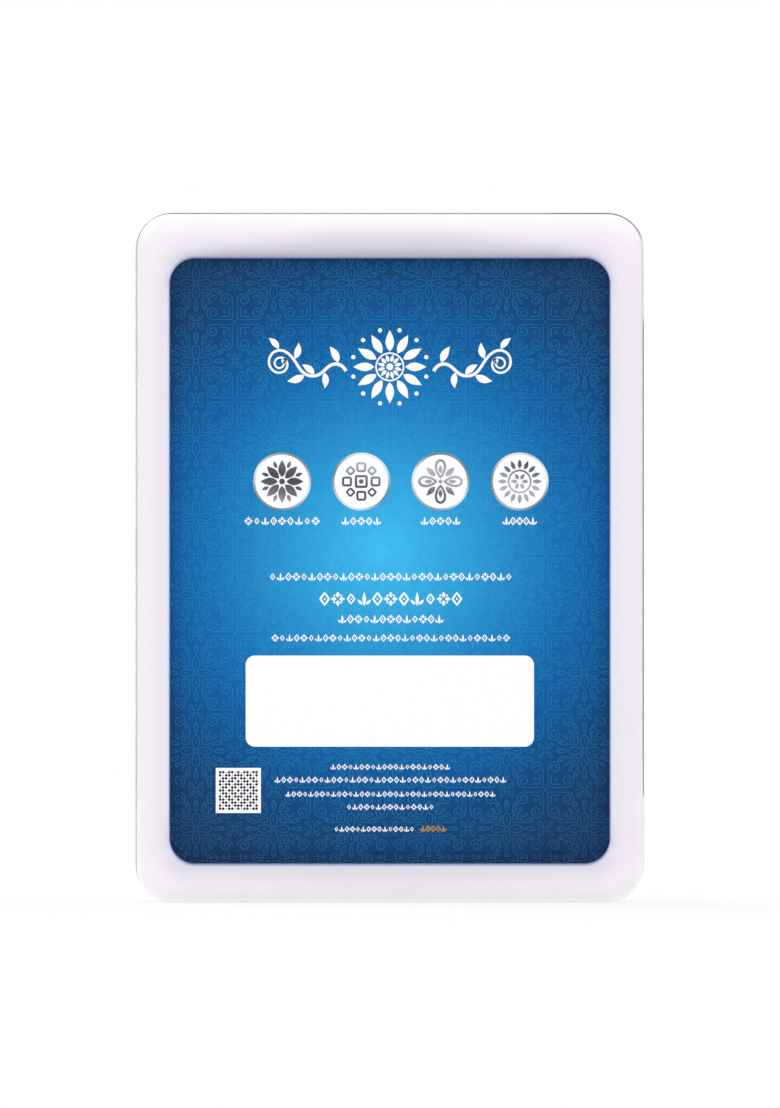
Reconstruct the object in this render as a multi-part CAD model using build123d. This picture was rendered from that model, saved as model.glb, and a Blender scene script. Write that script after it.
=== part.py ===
from build123d import *
import os

# A silver kumkum holder in its clear, upright presentation case.
# Millimetres, +Z up, X across the case, +Y towards the front cover. The printed back faces -Y.
# The origin is under the middle of the case, on the surface that it stands on.

# Clear case
case_width = 109.8
case_height = 149.4
corner_radius = 7.6
shell_wall = 1.0
back_half_depth = 34.0
rim_side = 7.1
rim_top = 9.6
rim_bottom = 8.3
rim_roll = 4.2
window_corner = 5.6
back_recess = 3.0
front_recess = 1.6
pane_inset = 2.2
pane_step = 0.2

# Flange, film hinge and closing lip
flange_overhang = 0.6
flange_thickness = 1.0
hinge_length = 108.0
hinge_film = 0.35
cover_lift = 0.3
lip_depth = 3.0
lip_thickness = 0.9
lip_root = 1.2
lip_gap = 0.25
lip_end_gap = 10.0

# Card and labels
card_thickness = 0.5
card_gap = 0.15
card_play = 0.25
label_thickness = 0.1
label_width = 62.6
label_height = 19.8
label_corner = 2.0
label_rise = 25.4
code_size = 9.8
code_inset = 10.0
code_rise = 11.0

# White display tray and its stand
tray_wall = 1.0
tray_gap = 0.3
tray_rim_depth = 8.0
pocket_depth = 0.3
tray_edge = 1.5
step_top = 28.0
step_side_gap = 9.0
step_front_gap = 0.5
plinth_top = 50.0
plinth_margin = 11.0
plinth_setback = 3.0
stand_corner = 8.0
stand_edge = 1.6
seat_depth = 1.6
seat_gap = 0.3
rib_radius = 0.6
rib_length = 12.0
rib_spread = 80.0
rib_gap = 0.1

# Silver holder
silver_wall = 0.35
foot_radius = 13.0
foot_height = 6.0
foot_lip = 1.2
foot_neck = 7.5
foot_hole = 3.0
bowl_radius = 18.0
bowl_lower = 11.0
bowl_upper = 7.5
bowl_floor = 8.0
mouth_radius = 14.0
mouth_neck = 2.2
collar_width = 1.4
collar_height = 1.6
collar_drop = 0.1
holder_back_gap = 1.5
holder_front_gap = 4.55

# Lid
lid_overhang = 3.2
lid_brim = 0.7
dome_height = 9.5
dome_crown = 3.0
bezel_depth = 3.5
bezel_gap = 0.15
petal_count = 8
petal_start = 3.6
petal_length = 5.6
petal_width = 4.6
calyx_thickness = 0.5
calyx_gap = 0.05
stud_radius = 1.0
stud_gap = 0.1
rivet_radius = 1.6
rivet_height = 0.7
bud_base = 3.0
bud_waist = 1.7
waist_height = 1.4
neck_height = 2.4
bud_start = 2.2
bud_radius = 3.9
bud_lower = 3.8
bud_upper = 6.4
washer_radius = 2.6
washer_thickness = 0.5

# Depths counted from the rim at the back, then moved so that the case is centred on Y
panel_depth = back_recess + shell_wall
card_depth = panel_depth + card_gap
tray_depth = card_depth + card_thickness - pocket_depth
alcove_depth = tray_depth + tray_wall
brim_radius = mouth_radius + lid_overhang
collar_radius = mouth_radius + collar_width
bezel_radius = mouth_radius - silver_wall - bezel_gap
holder_reach = max(bowl_radius, brim_radius, collar_radius, foot_radius)
axis_depth = alcove_depth + holder_back_gap + holder_reach
pane_depth = axis_depth + holder_reach + holder_front_gap
case_depth = pane_depth + shell_wall + front_recess

back_y = -case_depth / 2
front_y = case_depth / 2
panel_y = back_y + back_recess
part_y = back_y + back_half_depth
card_y = back_y + card_depth
tray_y = back_y + tray_depth
alcove_y = back_y + alcove_depth
tray_rim_y = tray_y + tray_rim_depth
holder_y = back_y + axis_depth
pane_y = back_y + pane_depth

# Window outline, shared by both halves, the card and the tray's pocket
window_width = case_width - 2 * rim_side
window_bottom = rim_bottom
window_top = case_height - rim_top

# Stand on the tray's floor
step_z = shell_wall + tray_gap + tray_wall
step_front = pane_y - step_front_gap
plinth_front = step_front - plinth_setback

# Heights of the holder on its seat
seat_z = plinth_top - seat_depth
bowl_z = seat_z + foot_height
belly_z = bowl_z + bowl_lower
shoulder_z = belly_z + bowl_upper
mouth_z = shoulder_z + mouth_neck
brim_z = mouth_z + lid_brim
crown_z = brim_z + dome_height

hinge_x = case_width / 2 + flange_overhang
sharp_edge = 0.1
roomy = 400.0


def limited(radius, room):
    # an edge radius, kept smaller than the wall that it rounds
    return min(radius, 0.92 * room)


def prism(width, bottom, top, corner, near, far):
    # an upright rounded rectangle, drawn out along Y from near to far
    outline = Pos(0, (bottom + top) / 2) * RectangleRounded(width, top - bottom, corner)
    return extrude(Plane.XZ.offset(-far) * outline, amount=far - near)


def case_prism(inset, near, far, bottom=0.0):
    # the case's outline, moved in by inset on every side
    return prism(
        case_width - 2 * inset,
        bottom + inset,
        case_height - inset,
        corner_radius - inset,
        near,
        far,
    )


def window_prism(grow, near, far):
    # the window's outline, moved out by grow on every side
    return prism(
        window_width + 2 * grow,
        window_bottom - grow,
        window_top + grow,
        window_corner + grow,
        near,
        far,
    )


def outer_edges(face):
    return face.outer_wire().edges()


def inner_edges(face):
    return face.inner_wires()[0].edges()


def rolled_block(inset, rim_y, mouth_y, recess, bottom):
    # one half of the case as a full block, with its rolled rim and sunken window;
    # with an inset it is the hollow that leaves an even wall under that skin
    inward = 1 if mouth_y > rim_y else -1
    crest_y = rim_y + inward * inset
    floor_y = rim_y + inward * (recess + inset)
    ends = sorted((crest_y, mouth_y))
    sunk = sorted((crest_y, floor_y))
    block = case_prism(inset, *ends, bottom=bottom)
    inner_roll = limited(rim_roll, recess - shell_wall / 2)
    outer_roll = limited(rim_roll, rim_side - inner_roll)
    crest = block.faces().sort_by(Axis.Y)[0 if inward > 0 else -1]
    block = fillet(outer_edges(crest), outer_roll - inset)
    block -= window_prism(inset, *sunk)
    if inner_roll > inset + sharp_edge:
        crest = block.faces().filter_by(Axis.Y).sort_by(Axis.Y)[0 if inward > 0 else -1]
        block = fillet(inner_edges(crest), inner_roll - inset)
    return block


def flange(near, far, bottom):
    # the edge flange, level with the foot of the case so that it stands flat
    return prism(
        case_width + 2 * flange_overhang,
        bottom,
        case_height + flange_overhang,
        corner_radius + flange_overhang,
        near,
        far,
    )


def film_relief(near, far):
    # what is taken off the flange's outer side to leave the hinge film
    middle = ((case_width / 2 + hinge_x) / 2, (near + far) / 2, case_height / 2)
    return Pos(*middle) * Box(flange_overhang, far - near, hinge_length)


def raised_pane(near, far):
    return window_prism(-pane_inset, near, far)


def tray_rib(side, height):
    # a half-round rib inside the side wall that the tray snaps behind
    place = (side * (case_width / 2 - shell_wall), tray_rim_y + rib_gap + rib_radius, height)
    return Pos(*place) * Cylinder(rib_radius, rib_length)


def make_back_shell():
    shell = rolled_block(0, back_y, part_y, back_recess, 0.0)
    shell += flange(part_y - flange_thickness, part_y, 0.0)
    shell += raised_pane(panel_y - pane_step, panel_y)
    shell -= rolled_block(shell_wall, back_y, part_y, back_recess, 0.0)
    shell -= film_relief(part_y - flange_thickness, part_y - hinge_film)
    for side in (-1, 1):
        for end in (-1, 1):
            rib = tray_rib(side, case_height / 2 + end * rib_spread / 2)
            shell += rib & case_prism(shell_wall / 2, back_y, part_y)
    return shell


def closing_lip():
    # a tongue along the top and the free side that slides into the back half
    inset = shell_wall + lip_gap
    lip = case_prism(inset, part_y - lip_depth, part_y + lip_root)
    lip += case_prism(shell_wall / 2, part_y, part_y + lip_root, cover_lift)
    lip -= case_prism(inset + lip_thickness, part_y - lip_depth, part_y + lip_root)
    hinge_side = Pos(case_width / 2 - lip_end_gap + roomy / 2, 0, 0) * Box(roomy, roomy, 2 * roomy)
    foot_side = Pos(0, 0, corner_radius + lip_end_gap - roomy / 2) * Box(roomy, roomy, roomy)
    return lip - hinge_side - foot_side


def make_front_cover():
    cover = rolled_block(0, front_y, part_y, front_recess, cover_lift)
    cover += flange(part_y, part_y + flange_thickness, cover_lift)
    cover -= rolled_block(shell_wall, front_y, part_y, front_recess, cover_lift)
    cover -= film_relief(part_y + hinge_film, part_y + flange_thickness)
    return cover + closing_lip()


def make_certificate_card():
    return window_prism(0, card_y, card_y + card_thickness)


def make_blank_label():
    bottom = window_bottom + label_rise
    return prism(
        label_width,
        bottom,
        bottom + label_height,
        label_corner,
        card_y - label_thickness,
        card_y,
    )


def make_code_label():
    middle_x = -window_width / 2 + code_inset + code_size / 2
    middle_z = window_bottom + code_rise + code_size / 2
    place = (middle_x, card_y - label_thickness / 2, middle_z)
    return Pos(*place) * Box(code_size, label_thickness, code_size)


def turned(profile):
    # a closed profile, drawn with its radius and height, turned about the holder's axis
    return Pos(0, holder_y, 0) * revolve(Plane.XZ * make_face(profile), Axis.Z)


def disc(radius, bottom, top):
    height = top - bottom
    return Pos(0, holder_y, bottom + height / 2) * Cylinder(radius, height)


def make_display_tray():
    # a shallow formed tray; its back holds the pocket for the card
    inset = shell_wall + tray_gap
    tray = case_prism(inset, tray_y, tray_rim_y)
    back_face = tray.faces().sort_by(Axis.Y)[0]
    tray = fillet(outer_edges(back_face), tray_edge)
    tray -= case_prism(inset + tray_wall, alcove_y, tray_rim_y)
    return tray - window_prism(card_play, tray_y, tray_y + pocket_depth)


def stand_block(width, bottom, top, front, inset):
    # a full block with rounded corners and a rounded top edge, from well behind the tray to front
    back = alcove_y - width
    depth = front - inset - back
    corner = limited(stand_corner, width / 2)
    outline = RectangleRounded(width - 2 * inset, depth, corner - inset)
    block = extrude(Pos(0, back + depth / 2, bottom) * outline, amount=top - inset - bottom)
    roof = block.faces().sort_by(Axis.Z)[-1]
    return fillet(roof.edges(), stand_edge - inset / 2)


def hood(width, bottom, top, front):
    # a formed block of even wall, open at its underside and where it meets the tray
    block = stand_block(width, bottom, top, front, 0)
    block -= stand_block(width, bottom, top, front, tray_wall)
    behind = Pos(0, alcove_y - roomy / 2, 0) * Box(roomy, roomy, 2 * roomy)
    return block - behind


def make_display_step():
    width = case_width - 2 * (shell_wall + tray_gap + step_side_gap)
    return hood(width, step_z, step_top, step_front)


def make_display_plinth():
    # the upper block, with a round seat sunk into its top for the holder's foot
    plinth = hood(2 * (foot_radius + plinth_margin), step_top, plinth_top, plinth_front)
    seat_radius = foot_radius + seat_gap
    plinth += disc(seat_radius + tray_wall, seat_z - tray_wall, plinth_top)
    return plinth - disc(seat_radius, seat_z, plinth_top)


def foot_body(inset):
    # an upright lip, a hollow arc up to the neck, and a flat top
    top = bowl_z - inset
    lip_top = seat_z + foot_lip - inset
    edge = foot_radius - inset
    neck = foot_neck - inset
    profile = [
        Line((0, seat_z), (edge, seat_z)),
        Line((edge, seat_z), (edge, lip_top)),
        TangentArc((edge, lip_top), (neck, top), tangent=(-1, 0)),
        Line((neck, top), (0, top)),
        Line((0, top), (0, seat_z)),
    ]
    return turned(profile)


def make_foot_ring():
    # a spun foot with an open top, soldered under the bowl
    return foot_body(0) - foot_body(silver_wall) - disc(foot_hole, seat_z, bowl_z)


def pot(inset):
    # the bowl's full body: two arcs that meet upright at the belly, then a straight neck
    floor = bowl_z + inset
    belly = bowl_radius - inset
    neck = mouth_radius - inset
    shoulder = shoulder_z - inset
    profile = [
        Line((0, floor), (bowl_floor, floor)),
        TangentArc((belly, belly_z), (bowl_floor, floor), tangent=(0, -1)),
        TangentArc((belly, belly_z), (neck, shoulder), tangent=(0, 1)),
        Line((neck, shoulder), (neck, mouth_z)),
        Line((neck, mouth_z), (0, mouth_z)),
        Line((0, mouth_z), (0, floor)),
    ]
    return turned(profile)


def make_bowl():
    return pot(0) - pot(silver_wall)


def make_bowl_collar():
    # a round-edged ring soldered round the neck, just under the lid
    top = mouth_z - collar_drop
    bottom = top - collar_height
    edge = collar_radius - limited(collar_height / 2, collar_width)
    profile = [
        Line((mouth_radius, top), (mouth_radius, bottom)),
        Line((mouth_radius, bottom), (edge, bottom)),
        ThreePointArc((edge, bottom), (collar_radius, (top + bottom) / 2), (edge, top)),
        Line((edge, top), (mouth_radius, top)),
    ]
    return turned(profile)


def dome(offset):
    # the lid's dome as a full body, with its skin moved out by offset
    base = mouth_radius + offset
    top = crown_z + offset
    profile = [
        Line((0, brim_z), (base, brim_z)),
        TangentArc((dome_crown, top), (base, brim_z), tangent=(1, 0)),
        Line((dome_crown, top), (0, top)),
        Line((0, top), (0, brim_z)),
    ]
    return turned(profile)


def make_lid():
    # a spun dome on a flat brim, with a hole in its crown for the finial's stud
    brim = disc(brim_radius, mouth_z, brim_z)
    brim = fillet(brim.faces().sort_by(Axis.Z)[-1].edges(), limited(lid_brim / 2, lid_brim))
    lid = brim + dome(0)
    lid -= dome(-silver_wall)
    lid -= disc(bezel_radius, mouth_z, brim_z)
    return lid - disc(stud_radius + stud_gap, brim_z, crown_z)


def make_lid_bezel():
    # the ring soldered inside the lid, which slides into the bowl's mouth
    bottom = mouth_z - bezel_depth
    return disc(bezel_radius, bottom, brim_z) - disc(bezel_radius - silver_wall, bottom, brim_z)


def petal_star():
    # a round middle with long oval petals set evenly about it
    star = Circle(petal_start + petal_width / 4)
    middle = petal_start + petal_length / 2 - petal_width / 4
    petal = Pos(middle, 0) * Ellipse(petal_length / 2, petal_width / 2)
    for number in range(petal_count):
        star += Rot(0, 0, number * 360 / petal_count) * petal
    return star


def make_finial_calyx():
    # a petal-edged cap that lies on the crown of the lid
    skin = dome(calyx_gap + calyx_thickness) - dome(calyx_gap)
    star = Pos(0, holder_y, brim_z) * petal_star()
    cap = skin & extrude(star, amount=2 * dome_height)
    return cap - disc(stud_radius + stud_gap, brim_z, 2 * crown_z)


def make_finial():
    # a lotus bud on a waisted neck; its stud goes down through calyx, lid and washer
    base = crown_z + calyx_gap + calyx_thickness
    neck_top = base + neck_height
    belly = neck_top + bud_lower
    tip = belly + bud_upper
    rivet_top = crown_z - silver_wall - washer_thickness
    rivet_foot = rivet_top - rivet_height
    profile = [
        Line((0, rivet_foot), (rivet_radius, rivet_foot)),
        Line((rivet_radius, rivet_foot), (rivet_radius, rivet_top)),
        Line((rivet_radius, rivet_top), (stud_radius, rivet_top)),
        Line((stud_radius, rivet_top), (stud_radius, base)),
        Line((stud_radius, base), (bud_base, base)),
        ThreePointArc((bud_base, base), (bud_waist, base + waist_height), (bud_start, neck_top)),
        TangentArc((bud_radius, belly), (bud_start, neck_top), tangent=(0, -1)),
        Spline((bud_radius, belly), (0, tip), tangents=((0, 1), (-0.45, 1))),
        Line((0, tip), (0, rivet_foot)),
    ]
    return turned(profile)


def make_finial_washer():
    top = crown_z - silver_wall
    washer = disc(washer_radius, top - washer_thickness, top)
    return washer - disc(stud_radius + stud_gap, top - washer_thickness, top)


makers = {
    "back_shell": make_back_shell,
    "front_cover": make_front_cover,
    "display_tray": make_display_tray,
    "display_step": make_display_step,
    "display_plinth": make_display_plinth,
    "certificate_card": make_certificate_card,
    "blank_label": make_blank_label,
    "code_label": make_code_label,
    "foot_ring": make_foot_ring,
    "bowl": make_bowl,
    "bowl_collar": make_bowl_collar,
    "lid": make_lid,
    "lid_bezel": make_lid_bezel,
    "finial_calyx": make_finial_calyx,
    "finial": make_finial,
    "finial_washer": make_finial_washer,
}

os.makedirs("parts", exist_ok=True)
for node, make in makers.items():
    export_step(make(), f"parts/{node}.step")
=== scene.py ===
import math

import bpy
import numpy as np
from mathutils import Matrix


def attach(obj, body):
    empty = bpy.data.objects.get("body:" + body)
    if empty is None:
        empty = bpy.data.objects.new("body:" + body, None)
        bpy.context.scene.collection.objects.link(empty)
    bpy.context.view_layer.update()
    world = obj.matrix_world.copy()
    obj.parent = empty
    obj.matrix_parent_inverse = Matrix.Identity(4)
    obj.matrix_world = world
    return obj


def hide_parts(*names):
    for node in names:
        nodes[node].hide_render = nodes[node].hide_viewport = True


# A silver kumkum holder in its clear case, seen from the printed back.
# Sizes are in millimetres here and become metres when a mesh is made.

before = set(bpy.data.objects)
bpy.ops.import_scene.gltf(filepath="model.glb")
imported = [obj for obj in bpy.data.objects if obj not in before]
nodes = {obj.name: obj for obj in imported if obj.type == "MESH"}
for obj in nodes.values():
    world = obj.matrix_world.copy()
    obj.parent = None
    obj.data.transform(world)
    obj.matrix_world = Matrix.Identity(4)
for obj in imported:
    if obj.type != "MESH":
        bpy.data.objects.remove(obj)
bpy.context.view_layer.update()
mm = 0.001
fullTurn = 2 * math.pi
tiny = 1e-9
print("frame loaded:", len(nodes), "nodes")


# meshes

def putObject(name, data):
    thing = bpy.data.objects.new(name, data)
    bpy.context.scene.collection.objects.link(thing)
    return thing


def putPiece(name, points, faces, body, material, sharpAngle=0.0):
    # the place is in the mesh, the object stays at the origin
    mesh = bpy.data.meshes.new(name)
    mesh.from_pydata((points * mm).tolist(), [], faces)
    if sharpAngle:
        mesh.shade_smooth()
        mesh.set_sharp_from_angle(angle=math.radians(sharpAngle))
    else:
        mesh.shade_flat()
    mesh.materials.append(material)
    piece = putObject(name, mesh)
    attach(piece, body)
    return piece


def dress(nodeNames, material):
    # solids of the frame that keep their shape
    for nodeName in nodeNames:
        nodes[nodeName].data.materials.clear()
        nodes[nodeName].data.materials.append(material)


def joinShapes(*shapes):
    # flat shapes are (points, quads) and become one
    starts = np.cumsum([0] + [len(points) for points, quads in shapes[:-1]])
    allPoints = np.concatenate([points for points, quads in shapes])
    allQuads = np.concatenate([quads + start for (points, quads), start in zip(shapes, starts)])
    return allPoints, allQuads


def ribbon(path, width, closed=False):
    # a strip along a line, half a width to each side of it
    path = np.asarray(path, float)
    if closed:
        ahead = np.roll(path[:-1], -1, axis=0) - np.roll(path[:-1], 1, axis=0)
        ahead = np.concatenate([ahead, ahead[:1]])
    else:
        ahead = np.gradient(path, axis=0)
    ahead = ahead / (np.linalg.norm(ahead, axis=1, keepdims=True) + tiny)
    side = np.stack([-ahead[:, 1], ahead[:, 0]], axis=-1)
    half = np.broadcast_to(np.asarray(width, float) / 2, len(path))[:, None]
    points = np.stack([path - side * half, path + side * half], axis=1)
    index = np.arange(2 * len(path)).reshape(-1, 2)
    quads = np.stack([index[:-1, 0], index[1:, 0], index[1:, 1], index[:-1, 1]], axis=-1)
    return points.reshape(-1, 2), quads


def copiesOf(quads, points):
    # one shape out of many, whose points come as rows and whose quads are alike
    starts = np.arange(len(points)).reshape(-1, 1, 1) * points.shape[1]
    return points.reshape(-1, 2), (quads + starts).reshape(-1, 4)


def repeatAt(shape, centres):
    # one copy of a flat shape at each centre
    return copiesOf(shape[1], shape[0] + np.array(centres)[:, None])


def spin(shape, count, start=0.0):
    # copies of a flat shape, turned evenly about the origin
    points, quads = shape
    angles = start + np.arange(count) * fullTurn / count
    turnX = np.stack([np.cos(angles), -np.sin(angles)], axis=-1)
    turnZ = np.stack([np.sin(angles), np.cos(angles)], axis=-1)
    return copiesOf(quads, np.stack([turnX @ points.T, turnZ @ points.T], axis=-1))


def moved(shape, x=0.0, z=0.0):
    return shape[0] + np.array([x, z]), shape[1]


def mirrored(shape):
    # the same shape on the other side of the upright middle line, its faces turned back
    return shape[0] * np.array([-1, 1]), shape[1][:, ::-1]


def disc(radius, steps=10):
    # a level line across, as wide at each step as the circle is there
    across = -np.cos(np.linspace(0, math.pi, steps + 1)) * radius
    width = 2 * np.sqrt(np.maximum(radius**2 - across**2, 0)) + 0.01
    return ribbon(np.stack([across, 0 * across], axis=-1), width)


def ring(radius, width, steps=32):
    angle = np.linspace(0, fullTurn, steps + 1)
    return ribbon(np.stack([np.cos(angle), np.sin(angle)], axis=-1) * radius, width, True)


def petalLine(start, end, halfWidth, steps=14, swell=0.35):
    # a closed drop: out along X from start to end and back, widest towards the end
    angle = np.linspace(0, fullTurn, steps + 1)
    reach = (1 - np.cos(angle)) / 2
    along = start + (end - start) * reach
    across = halfWidth * np.sin(angle) * reach**swell
    return np.stack([along, across], axis=-1)


def squareLine(half, corner, steps=3):
    # a closed square with round corners: one corner's arc, turned four times
    angle = np.linspace(0, math.pi / 2, steps + 1)
    arc = (half - corner) + corner * np.stack([np.cos(angle), np.sin(angle)], axis=-1)
    quarter = np.array([[0, 1], [-1, 0]])
    return np.concatenate([arc, arc @ quarter, -arc, -arc @ quarter, arc[:1]])


def leaf(length, width, bend=0.0, start=0.0, steps=8):
    # a bowed line along X whose width swells and closes again as a sine
    share = np.linspace(0, 1, steps + 1)
    line = np.stack([start + length * share, bend * length * share * (1 - share)], axis=-1)
    return ribbon(line, width * np.sin(math.pi * share**0.85) + 0.02)


def scrollLine(gap, reach, curl, turns, steps):
    # straight along X, then rolled up: the radius shrinks evenly over the turns
    angle = np.linspace(0, turns * fullTurn, steps)
    radius = curl * (1 - 0.78 * angle / angle[-1])
    roll = np.stack([reach - curl + radius * np.sin(angle), gap + curl - radius * np.cos(angle)], axis=-1)
    return np.concatenate([[[gap, gap]], roll])


def wrapQuads(rows, columns):
    # the quads of a grid whose last row and column join the first
    index = np.arange(rows * columns).reshape(rows, columns)
    across = np.roll(index, -1, axis=1)
    return np.stack([index, across, np.roll(across, -1, axis=0), np.roll(index, -1, axis=0)], axis=-1)


def liftOf(relief, profile, count):
    # a relief's height: a row for each step of the profile, a column for each angle
    angle = np.arange(count) * fullTurn / count
    at = np.linspace(0, 1, len(profile)) * (len(profile) - 1)
    return relief(angle[None], at[:, None])


def turnSurface(profile, lift, centre, closed=False):
    # a profile of r and z, turned about an upright axis and moved out along its normal by lift;
    # an end on the axis closes in one point, and a closed profile runs back to its first point
    count = lift.shape[1]
    ahead = np.gradient(profile, axis=0)
    ahead /= np.linalg.norm(ahead, axis=1, keepdims=True) + tiny
    normal = np.stack([ahead[:, 1], -ahead[:, 0]], axis=-1)
    angle = np.arange(count) * fullTurn / count
    radius = profile[:, :1] + normal[:, :1] * lift
    height = profile[:, 1:] + normal[:, 1:] * lift
    grid = np.stack([radius * np.cos(angle), radius * np.sin(angle), height], axis=-1)
    first = 1 if profile[0, 0] < tiny else 0
    last = len(profile) - (1 if profile[-1, 0] < tiny else 0)
    points = grid[first:last].reshape(-1, 3)
    quads = wrapQuads(last - first, count)
    faces = (quads if closed else quads[:-1]).reshape(-1, 4).tolist()
    if first:
        pole = np.full(count, len(points))
        faces += np.stack([pole, quads[0, :, 1], quads[0, :, 0]], axis=-1).tolist()
        points = np.concatenate([points, [[0, 0, profile[0, 1]]]])
    if last < len(profile):
        pole = np.full(count, len(points))
        faces += np.stack([quads[-1, :, 0], quads[-1, :, 1], pole], axis=-1).tolist()
        points = np.concatenate([points, [[0, 0, profile[-1, 1]]]])
    return points + np.array([*centre, 0]), faces


def bow(start, end, lead, steps):
    # the arc that leaves start along lead and ends at end
    start, end, lead = np.array([start, end, lead], float)
    chord = end - start
    sweep = 2 * math.atan2(lead[0] * chord[1] - lead[1] * chord[0], lead @ chord)
    side = np.array([-lead[1], lead[0]])
    middle = start + side * (chord @ chord) / (2 * (chord @ side))
    angle = np.linspace(0, sweep, steps + 1)[:, None]
    arm = start - middle
    return middle + arm * np.cos(angle) + np.array([-arm[1], arm[0]]) * np.sin(angle)


def run(start, end, steps):
    return np.linspace(start, end, steps + 1)


def profileOf(*parts):
    # lines and arcs in a row, each after the first without its first point
    return np.concatenate([parts[0]] + [part[1:] for part in parts[1:]])


# materials

work = {"owner": None}


def tone(red, green, blue):
    # a colour in steps of 0 to 255, as linear light
    share = np.array([red, green, blue]) / 255
    light = np.where(share <= 0.04045, share / 12.92, ((share + 0.055) / 1.055) ** 2.4)
    return (*light.tolist(), 1.0)


def begin(owner):
    # the nodes that follow go into the tree of this material or world
    owner.use_nodes = True
    owner.node_tree.nodes.clear()
    work["owner"] = owner


def put(kind, inputs=None, **settings):
    tree = work["owner"].node_tree
    node = tree.nodes.new("ShaderNode" + kind)
    for key, value in settings.items():
        setattr(node, key, value)
    for key, value in (inputs or {}).items():
        if isinstance(value, bpy.types.NodeSocket):
            tree.links.new(value, node.inputs[key])
        else:
            node.inputs[key].default_value = value
    return node


def calc(operation, *values):
    return put("Math", dict(enumerate(values)), operation=operation).outputs[0]


def times(first, second):
    return calc("MULTIPLY", first, second)


def lengthOf(across, up):
    return calc("SQRT", calc("MULTIPLY_ADD", across, across, times(up, up)))


def mapped(value, low, high, bottom=0.0, top=1.0, **settings):
    # from bottom to top while value goes from low to high
    limits = {"Value": value, "From Min": low, "From Max": high, "To Min": bottom, "To Max": top}
    return put("MapRange", limits, **settings).outputs["Result"]


def fade(value, low, high, bottom=0.0, top=1.0):
    # the same, as a soft step
    return mapped(value, low, high, bottom, top, interpolation_type="SMOOTHSTEP")


def band(value, low, high, soft):
    # one between low and high, with soft ends
    rising = fade(value, low - soft, low)
    return times(rising, fade(value, high, high + soft, 1.0, 0.0))


def mixTone(share, first, second):
    return put("Mix", {0: share, 6: first, 7: second}, data_type="RGBA").outputs[2]


def ramp(share, stops):
    node = put("ValToRGB", {"Fac": share})
    elements = node.color_ramp.elements
    for element, (place, *colour) in zip(elements, (stops[0], stops[-1])):
        element.position, element.color = place, tone(*colour)
    for place, *colour in stops[1:-1]:
        elements.new(place).color = tone(*colour)
    return node.outputs["Color"]


def noise(places, scale, detail=3.0, roughness=0.5):
    wanted = {"Vector": places, "Scale": scale, "Detail": detail, "Roughness": roughness}
    return put("TexNoise", wanted).outputs["Fac"]


def newMaterial(name):
    # an empty material; gives object coordinates in millimetres
    begin(bpy.data.materials.new(name))
    places = put("TexCoord").outputs["Object"]
    return put("VectorMath", {0: places, "Scale": 1 / mm}, operation="SCALE").outputs[0]


def axesOf(places):
    return put("SeparateXYZ", {0: places}).outputs


def finished(surface):
    put("OutputMaterial", {"Surface": surface.outputs[0]})
    return work["owner"]


def bump(height, strength, depth):
    wanted = {"Height": height, "Strength": strength, "Distance": depth * mm}
    return put("Bump", wanted).outputs["Normal"]


def outlineDistance(x, z, outline):
    # how far a point lies outside a rounded rectangle, negative inside it
    halfWidth, halfHeight, middle, corner = outline
    aboveMiddle = calc("ABSOLUTE", calc("SUBTRACT", z, middle))
    overX = calc("SUBTRACT", calc("ABSOLUTE", x), halfWidth - corner)
    overZ = calc("SUBTRACT", aboveMiddle, halfHeight - corner)
    outside = lengthOf(calc("MAXIMUM", overX, 0.0), calc("MAXIMUM", overZ, 0.0))
    inside = calc("MINIMUM", calc("MAXIMUM", overX, overZ), 0.0)
    return calc("SUBTRACT", calc("ADD", outside, inside), corner)


# clear case: milky on the rolled rim, clear in the sunken window
clearCase = {
    # half width, half height, middle height and corner
    "window": (47.8, 65.75, 74.05, 5.6),
    "outline": (54.9, 74.7, 74.7, 7.6),
    # how far from the middle plane the straight wall turns into the rim
    "milkyDepth": (17.0, 22.5),
    "rimDepth": (17.0, 22.0),
    "sideAlpha": 0.07,
    "rimAlpha": 0.8,
    "steepAlpha": 0.16,
    "glare": 0.42,
    # from just inside the window's edge outwards: a lavender line and a bright band, painted glint on the
    # steep wall, then a light painted shade, then near white
    "rimSpan": (-1.0, 8.0),
    "rimGlintAndShadeTones": [
        (0.0, 176, 180, 236), (0.118, 190, 194, 242), (0.14, 240, 244, 255),
        (0.2, 242, 240, 252), (0.32, 245, 241, 250), (0.5, 249, 244, 252),
        (0.75, 253, 249, 254), (1.0, 255, 252, 255),
    ],
    "cloudTone": tone(248, 240, 250),
    # painted shade: the straight clear walls, seen edgewise, are greyer than the rim
    "wallShadeTone": tone(196, 194, 208),
    # share and tone of the shade beside the window's upper and lower edge
    "upperShade": 0.86,
    "lowerShade": 0.3,
    "shadeReach": (8.6, 4.8),
    "shadeTone": tone(192, 187, 198),
    # share and tone of the thin painted shade line at the foot of those edges
    "upperFootShade": 0.45,
    "lowerFootShade": 0.55,
    "footShadeTone": tone(138, 146, 196),
    # opacity of the flange's edge lines of painted shade: left and right, along the top, on the hinge film
    "sideLines": (0.18, 0.01),
    "topLines": (0.31, 0.95),
    "filmLine": 0.9,
    "hingeHalf": 54.0,
    # tones of the painted shade lines along the sides and along the top
    "sideLineShadeTone": tone(118, 114, 120),
    "topLineShadeTone": tone(70, 68, 74),
    "flangeTone": tone(248, 247, 251),
}


def windowShade(x, z, away):
    # the deep upper edge of the window lies in its own shade, widest in the middle, and the
    # lower edge a little too
    look = clearCase
    aside = calc("ABSOLUTE", x)
    reach = fade(aside, 6.0, 36.0, *look["shadeReach"])
    falling = calc("POWER", mapped(away, 0.4, reach, 1.0, 0.0), 1.6)
    near = times(fade(away, 0.2, 0.6), falling)
    middle = fade(aside, 33.0, 46.0, 1.0, 0.3)
    upper = times(fade(z, 136.5, 140.5, 0.0, look["upperShade"]), middle)
    lower = fade(z, 7.0, 11.0, look["lowerShade"], 0.0)
    return times(near, calc("ADD", upper, lower))


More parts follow.
